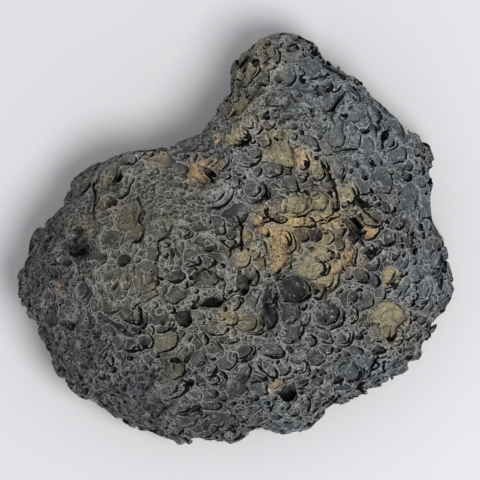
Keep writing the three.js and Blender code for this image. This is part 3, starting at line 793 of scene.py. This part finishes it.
def depthOf(points, owner):
    # how deep each point lies in the stone, mm; the deepest holes count twice, so their painted shade ends
    # in black
    spots = np.array([each.get("spot", each["centre"]) for each in bubbles])[owner]
    outs = np.array([each["axes"][2] for each in bubbles])[owner]
    black = [each["tint"] == "dark" and each["radii"][2] > bowl["blackFrom"] for each in bubbles]
    hole = np.array(black)[owner]
    below = np.sum((spots - points) * outs, axis=1)
    return np.maximum(-readAt(whole, points), np.where(hole, 2 * below, 0))


whole = wholeLump(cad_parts["lava_rock"])
bends = [0.8 * cloud(7.0, 61 + a) + 0.3 * cloud(2.4, 64 + a) for a in range(3)]
report("whole lump")
stone = {
    "solid": whole.copy(),
    "runnerUp": np.full(blockShape, -block["band"], np.float32),
    "owner": np.zeros(blockShape, np.int16),
}
bubbles.append({"centre": np.zeros(3), "axes": np.eye(3), "radii": (200, 200, 200),
                "low": np.array([1.0, 0, 0]), "tint": ""})  # the outside of the lump itself
carveTerraces(stone)
firstBowl = len(bubbles)
carvePlacedBowls(stone)
firstFroth = len(bubbles)
report("placed bowls")
carveFroth(stone, firstBowl)
carvePits(stone)
ridge = fromRidge(stone)
field = stone["solid"] - froth["lip"][0] * np.exp(-((ridge / froth["lip"][1]) ** 2))
quiet = quietness(firstBowl, firstFroth)
for each, calm in zip(bubbles[firstBowl:], quiet[firstBowl:]):
    long, wide = each["radii"][0], each["radii"][1] * bowl["cleftStretch"]
    if calm < bowl["cleftCalm"] and each["size"] > bowl["cleftFrom"] and long < wide < bowl["cleftWidest"]:
        carveCleft(field, each, *bowl["cleft"])
crackPath = carveCracks(field)
grainHeight, grainSize, grainSeed = froth["grain"]
field += grainHeight * cloud(grainSize, grainSeed)
field = softened(field, froth["melt"])
field = np.maximum(field, softened(field, froth["sliver"][0]) - froth["sliver"][1])
height = (np.arange(blockShape[2]) + firstCell[2]) * cell
field = np.maximum(field, -height[None, None, :]).astype(np.float32)
report(f"{len(bubbles)} bubbles carved")
points, faces = skinOf(field)
report(f"skin of {len(faces)} triangles")
points, faces = thinnedSkin(points, faces, slopeAt(whole, points * 1000))
points, faces = largestPart(points, faces)
report(f"thinned to {len(faces)} triangles")

rock = addToScene("lavaRock", meshOf("lavaRock", points, faces))
rock.data.shade_smooth()
pointsMm = points * 1000.0
outward = slopeAt(whole, pointsMm)
owner = stone["owner"][tuple((np.round(pointsMm / cell).astype(int) - firstCell).T)].astype(int)
ridge = readAt(ridge, pointsMm)
edges, sides = outlinesOf(pointsMm, firstBowl, quiet)
# how hollow each point lies; the hollows get painted shade
hollow = readAt(softened(field, 1.5), pointsMm)
marks = {
    "ridge": ridge,
    "hollow": hollow,
    "depth": depthOf(pointsMm, owner),
    "bare": owner < firstBowl,
    "fine": finenessOf(pointsMm, outward),
    "fromCrack": fromPath(pointsMm, crackPath, outward),
    "tone": seeded(51).uniform(-1, 1, len(bubbles))[owner],
    **tintOf(pointsMm, outward, owner),
}
for place in range(outline["sets"]):
    marks[f"edge{place}"] = edges[place]
    marks[f"side{place}"] = sides[place]
for name, values in marks.items():
    layer = rock.data.attributes.new(name, "FLOAT", "POINT")
    layer.data.foreach_set("value", np.asarray(values, np.float32))
report("surface marked")

lavaLook = {
    "charcoal": (0.023, 0.0236, 0.0243),
    "grey": (0.060, 0.0612, 0.0612),
    "tan": (0.245, 0.207, 0.12),
    "olive": (0.107, 0.098, 0.066),
    "rust": (0.34, 0.232, 0.113),
    # bluish cast for the painted reflection of blue light
    "blueReflection": (0.083, 0.0935, 0.108),
    # pale floors, also used as painted light
    "pale": (0.125, 0.13, 0.127),
    # near black, used for painted shade in holes, cracks and hollows
    "shadeBlack": (0.001, 0.001, 0.001),
    # rims: partly wear, partly painted highlight
    "rimWearAndHighlight": (0.235, 0.236, 0.222),
    "fleck": (0.42, 0.41, 0.38),
    # how ragged each tint is, and how bright the rims, partly worn and partly painted highlight, are
    # against it
    "softness": {"blueReflection": 0.5, "pale": 0.4, "olive": 0.35, "tan": 0.3, "rust": 0.3},
    "rimOver": {"blueReflection": 2.9, "pale": 2.6, "olive": 1.9, "tan": 1.55, "rust": 1.5},
    "darkest": 0.85,  # how far the dark patches go towards near black, painted shade
    "roughness": (0.62, 0.95),
    "specular": 0.06,
    "drift": 0.0012,  # how far the foam and pinholes are pulled about, m
    "grainDepth": 0.00012,  # m
    "grainShare": 0.28,
    "foam": [(0.0032, 0.9, 7.0), (0.0019, 1.0, 8.0)],  # size of the cells, m, how strong, and seed
    "foamShade": 0.6,
    "foamLine": 0.7,
    "lowSide": (0.75, -0.6, -0.2),
    # lines over the floors: spacing, m, seed, half width, how strong
    "wrinkles": [(0.0035, 11.0, 0.02, 0.4)],
    "uneven": 0.7,  # how far the outlines waver, mm
    "lowSideShadeWide": 0.95,  # widest painted shade along the low side of a bubble, mm
    "shadow": 0.45,  # how dark a floor gets by its low side
    "shadeDepth": (2.2, 2.95),  # painted shade blackens holes between these depths, mm
    "pinholes": 0.0041,  # how far apart, m
}


def lavaMaterial():
    material = bpy.data.materials.new("lava")
    material.use_nodes = True
    tree = material.node_tree
    shader = tree.nodes["Principled BSDF"]

    def made(kind, inputs, **settings):
        # a new node's outputs, with each of its inputs linked or set
        node = tree.nodes.new("ShaderNode" + kind)
        for name, value in settings.items():
            setattr(node, name, value)
        for name, value in inputs.items():
            if isinstance(value, bpy.types.NodeSocket):
                tree.links.new(value, node.inputs[name])
            else:
                node.inputs[name].default_value = value
        return node.outputs

    place = made("TexCoord", {})["Object"]

    def attribute(name):
        return made("Attribute", {}, attribute_name=name)["Fac"]

    def noise(size, detail=3, roughness=0.55, offset=0.0):
        inputs = {"Vector": place, "W": offset, "Scale": 1 / size, "Detail": detail, "Roughness": roughness}
        return made("TexNoise", inputs, noise_dimensions="4D")["Fac"]

    def vectorMaths(operation, *values):
        return made("VectorMath", dict(enumerate(values)), operation=operation)

    def foam(size, where):
        # small open cells: how far in from their edge, and how near the low side
        inputs = {"Vector": where, "Scale": 1 / size}
        edge = made("TexVoronoi", inputs, feature="DISTANCE_TO_EDGE")["Distance"]
        middle = made("TexVoronoi", inputs)["Position"]
        way = vectorMaths("NORMALIZE", vectorMaths("SUBTRACT", where, middle)["Vector"])["Vector"]
        return edge, vectorMaths("DOT_PRODUCT", way, lavaLook["lowSide"])["Value"]

    def ramp(value, low, high, start=0.0, end=1.0):
        inputs = {"Value": value, "From Min": low, "From Max": high, "To Min": start, "To Max": end}
        return made("MapRange", inputs, interpolation_type="SMOOTHSTEP")["Result"]

    def maths(operation, first, second=0.0):
        return made("Math", {0: first, 1: second}, operation=operation)["Value"]

    def times(first, *others):
        for other in others:
            first = maths("MULTIPLY", first, other)
        return first

    def plus(first, second):
        return maths("ADD", first, second)

    def minus(first, second):
        return maths("SUBTRACT", first, second)

    def larger(first, second):
        return maths("MAXIMUM", first, second)

    def mix(share, first, second, blend="MIX"):
        return made("Mix", {0: share, 6: first, 7: second}, data_type="RGBA", blend_type=blend)[2]

    def paint(name):
        return (*lavaLook[name], 1)

    ridge = attribute("ridge")
    fine = attribute("fine")
    mottle = noise(0.0045, 4, 0.6, 1.0)
    grain = noise(0.0008, 3, 0.7, 2.0)
    smear = noise(0.0022, 3, 0.6, 3.0)
    patchy = noise(0.0012, 2, 0.5, 4.0)
    wander = made("TexNoise", {"Vector": place, "Scale": 1 / 0.002})["Color"]
    drift = vectorMaths("SUBTRACT", wander, (0.5, 0.5, 0.5))["Vector"]
    drift = vectorMaths("MULTIPLY", drift, [lavaLook["drift"]] * 3)["Vector"]
    warped = vectorMaths("ADD", place, drift)["Vector"]

    # plain floors, then their tints, the blue one a painted reflection and the pale one partly painted
    # light; the rims, partly worn and partly painted highlight, take a paler cast of the same tint
    shadeBlack = paint("shadeBlack")
    shade = plus(times(mottle, 0.6), plus(times(smear, 0.4), times(attribute("tone"), 0.10)))
    colour = mix(ramp(shade, 0.36, 0.66), paint("charcoal"), paint("grey"))
    rimWearAndHighlightColour = paint("rimWearAndHighlight")
    for name, softness in lavaLook["softness"].items():
        spread = times(attribute(name), ramp(smear, 0.5 - softness, 0.5 + softness * 0.4))
        colour = mix(spread, colour, paint(name))
        rimTint = (*[lavaLook["rimOver"][name] * part for part in lavaLook[name]], 1)
        rimWearAndHighlightColour = mix(times(attribute(name), 0.75), rimWearAndHighlightColour, rimTint)
    # painted shade: the dark patches and dark bowls go towards near black, and the rims there dim with them
    darkShade = times(maths("POWER", attribute("dark"), 1.5), lavaLook["darkest"])
    colour = mix(darkShade, colour, shadeBlack)
    rimWearAndHighlightColour = mix(times(darkShade, 0.9), rimWearAndHighlightColour, paint("charcoal"))
    for size, offset, half, most in lavaLook["wrinkles"]:
        bend = maths("ABSOLUTE", minus(noise(size, 3, 0.55, offset), 0.5))
        share = times(ramp(bend, half * 0.4, half, most, 0.0), ramp(smear, 0.42, 0.6))
        colour = mix(share, colour, rimWearAndHighlightColour)

    # foam too fine to model: a pale line round each cell, partly painted highlight, and painted shade on
    # its low side
    height = plus(times(noise(0.0018, 3, 0.6, 6.0), 1.2), times(grain, 0.6))
    frothy = plus(plus(attribute("bare"), fine), ramp(noise(0.006, 2, 0.5, 9.0), 0.48, 0.6))
    for size, strength, offset in lavaLook["foam"]:
        edge, downhill = foam(size, warped)
        patch = times(ramp(noise(0.005, 2, 0.5, offset), 0.4, 0.55), strength)
        here = times(maths("MINIMUM", frothy, 1.0), patch)
        line = ramp(edge, 0.05, 0.13, 1.0, 0.0)
        crack = times(ramp(edge, 0.14, 0.28, 1.0, 0.0), ramp(downhill, 0.0, 0.5))
        colour = mix(times(here, times(crack, lavaLook["foamShade"])), colour, shadeBlack)
        colour = mix(times(here, times(line, lavaLook["foamLine"])), colour, rimWearAndHighlightColour)
        height = plus(height, times(here, ramp(edge, 0.0, 0.3, 3.0 * size / 0.0015, 0.0)))

    # the outlines of the bubbles: rims, partly worn and partly painted highlight, black painted shade along
    # the low sides, and floors that darken towards them in painted shadow
    uneven = times(minus(patchy, 0.5), lavaLook["uneven"])
    rimLine = 0.0
    crack = 0.0
    shadow = 0.0
    for number in range(outline["sets"]):
        edge = plus(attribute(f"edge{number}"), uneven)
        side = attribute(f"side{number}")
        within = ramp(edge, 0.0, 0.1, 1.0, 0.0)
        line = ramp(maths("ABSOLUTE", minus(edge, 0.17)), 0.07, 0.29, 1.0, 0.0)
        wide = ramp(plus(side, times(smear, 1.2)), 0.4, 1.6, 0.1, lavaLook["lowSideShadeWide"])
        # painted shade along the low side, where the undercut wall falls dark
        lowSideShade = times(within, ramp(plus(edge, wide), -0.1, 0.05), ramp(side, -0.15, 0.3))
        dim = times(ramp(edge, 0.0, 0.2, 1.0, 0.0), ramp(side, -0.2, 0.8))
        rimLine = larger(rimLine, line)
        crack = larger(crack, lowSideShade)
        shadow = larger(shadow, times(ramp(edge, -1.5, 0.0), dim))
    colour = mix(times(shadow, lavaLook["shadow"]), colour, shadeBlack)
    nearRidge = times(ramp(ridge, 0.7, 1.3, 1.0, 0.25), ramp(fine, 0.0, 1.0, 1.0, 0.45))
    # painted shade along the long cracks
    longCrackShade = ramp(plus(attribute("fromCrack"), times(uneven, 0.5)), 0.25, 0.5, 1.0, 0.0)
    crack = larger(crack, longCrackShade)
    wearAndHighlightShare = times(nearRidge, ramp(smear, 0.3, 0.6, 0.6, 0.95))
    colour = mix(times(rimLine, wearAndHighlightShare), colour, rimWearAndHighlightColour)
    colour = mix(times(times(crack, nearRidge), 0.97), colour, shadeBlack)
    height = plus(height, times(minus(rimLine, crack), 2.0))
    # painted shade in the hollows
    colour = mix(ramp(attribute("hollow"), -0.5, -1.6, 0.0, 0.6), colour, shadeBlack)

    # pinholes painted black as shade with a pale ring, partly painted highlight, painted shade in the deep
    # holes, flecks and grain
    away = made("TexVoronoi", {"Vector": warped, "Scale": 1 / lavaLook["pinholes"]})["Distance"]
    pinhole = ramp(away, 0.075, 0.11, 1.0, 0.0)
    ring = ramp(maths("ABSOLUTE", minus(away, 0.145)), 0.015, 0.045, 0.7, 0.0)
    colour = mix(pinhole, mix(ring, colour, rimWearAndHighlightColour), shadeBlack)
    height = minus(height, times(pinhole, 3.0))
    colour = mix(ramp(attribute("depth"), *lavaLook["shadeDepth"], 0.0, 0.95), colour, shadeBlack)
    colour = mix(ramp(noise(0.0011, 2, 0.5, 5.0), 0.70, 0.76, 0.0, 0.7), colour, paint("fleck"))
    colour = mix(lavaLook["grainShare"], colour, ramp(grain, 0.28, 0.72), "OVERLAY")
    bump = made("Bump", {"Strength": 1.0, "Distance": lavaLook["grainDepth"], "Height": height})["Normal"]
    tree.links.new(colour, shader.inputs["Base Color"])
    tree.links.new(ramp(mottle, 0.3, 0.7, *lavaLook["roughness"]), shader.inputs["Roughness"])
    tree.links.new(bump, shader.inputs["Normal"])
    shader.inputs["Specular IOR Level"].default_value = lavaLook["specular"]
    return material


rock.data.materials.append(lavaMaterial())
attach(rock, "root")
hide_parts("lava_rock")
report("lava painted")

# floor, light and camera
studio = {
    "floorHalf": 1.2,
    "cameraHeight": 2.4,
    "viewWide": 0.1648,
    "aim": (0.00137, -0.00034, 0.019),
    "paper": (0.515, 0.52, 0.53, 1),
    "paperRoughness": 0.9,
    "room": (0.97, 0.98, 1, 1),
    "roomStrength": 0.75,
    "keyAt": (0.3, -0.24, 1.04),
    "keySize": 0.5,
    "keyWatts": 11,
}
floorMesh = bmesh.new()
bmesh.ops.create_grid(floorMesh, x_segments=1, y_segments=1, size=studio["floorHalf"])
floor = addToScene("floor", bpy.data.meshes.new("floor"))
floorMesh.to_mesh(floor.data)
floorMesh.free()
paper = bpy.data.materials.new("paper")
paper.use_nodes = True
paperSockets = paper.node_tree.nodes["Principled BSDF"].inputs
paperSockets["Base Color"].default_value = studio["paper"]
paperSockets["Roughness"].default_value = studio["paperRoughness"]
floor.data.materials.append(paper)

world = bpy.data.worlds.new("softRoom")
world.use_nodes = True
roomSockets = world.node_tree.nodes["Background"].inputs
roomSockets["Color"].default_value = studio["room"]
roomSockets["Strength"].default_value = studio["roomStrength"]
bpy.context.scene.world = world

key = addToScene("key", bpy.data.lights.new("key", "AREA"))
key.data.shape = "DISK"
key.data.size = studio["keySize"]
key.data.energy = studio["keyWatts"]
key.location = studio["keyAt"]
key.rotation_euler = (-Vector(key.location)).to_track_quat("-Z", "Y").to_euler()

lens = bpy.data.cameras.new("camera")
camera = addToScene("camera", lens)
aim = Vector(studio["aim"])
camera.location = aim + Vector((0, 0, studio["cameraHeight"]))
lens.sensor_fit = "HORIZONTAL"
lens.angle = 2 * math.atan(studio["viewWide"] / 2 / studio["cameraHeight"])
lens.clip_end = 10
bpy.context.scene.camera = camera
bpy.context.scene.view_settings.view_transform = "Standard"

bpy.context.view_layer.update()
report("done")
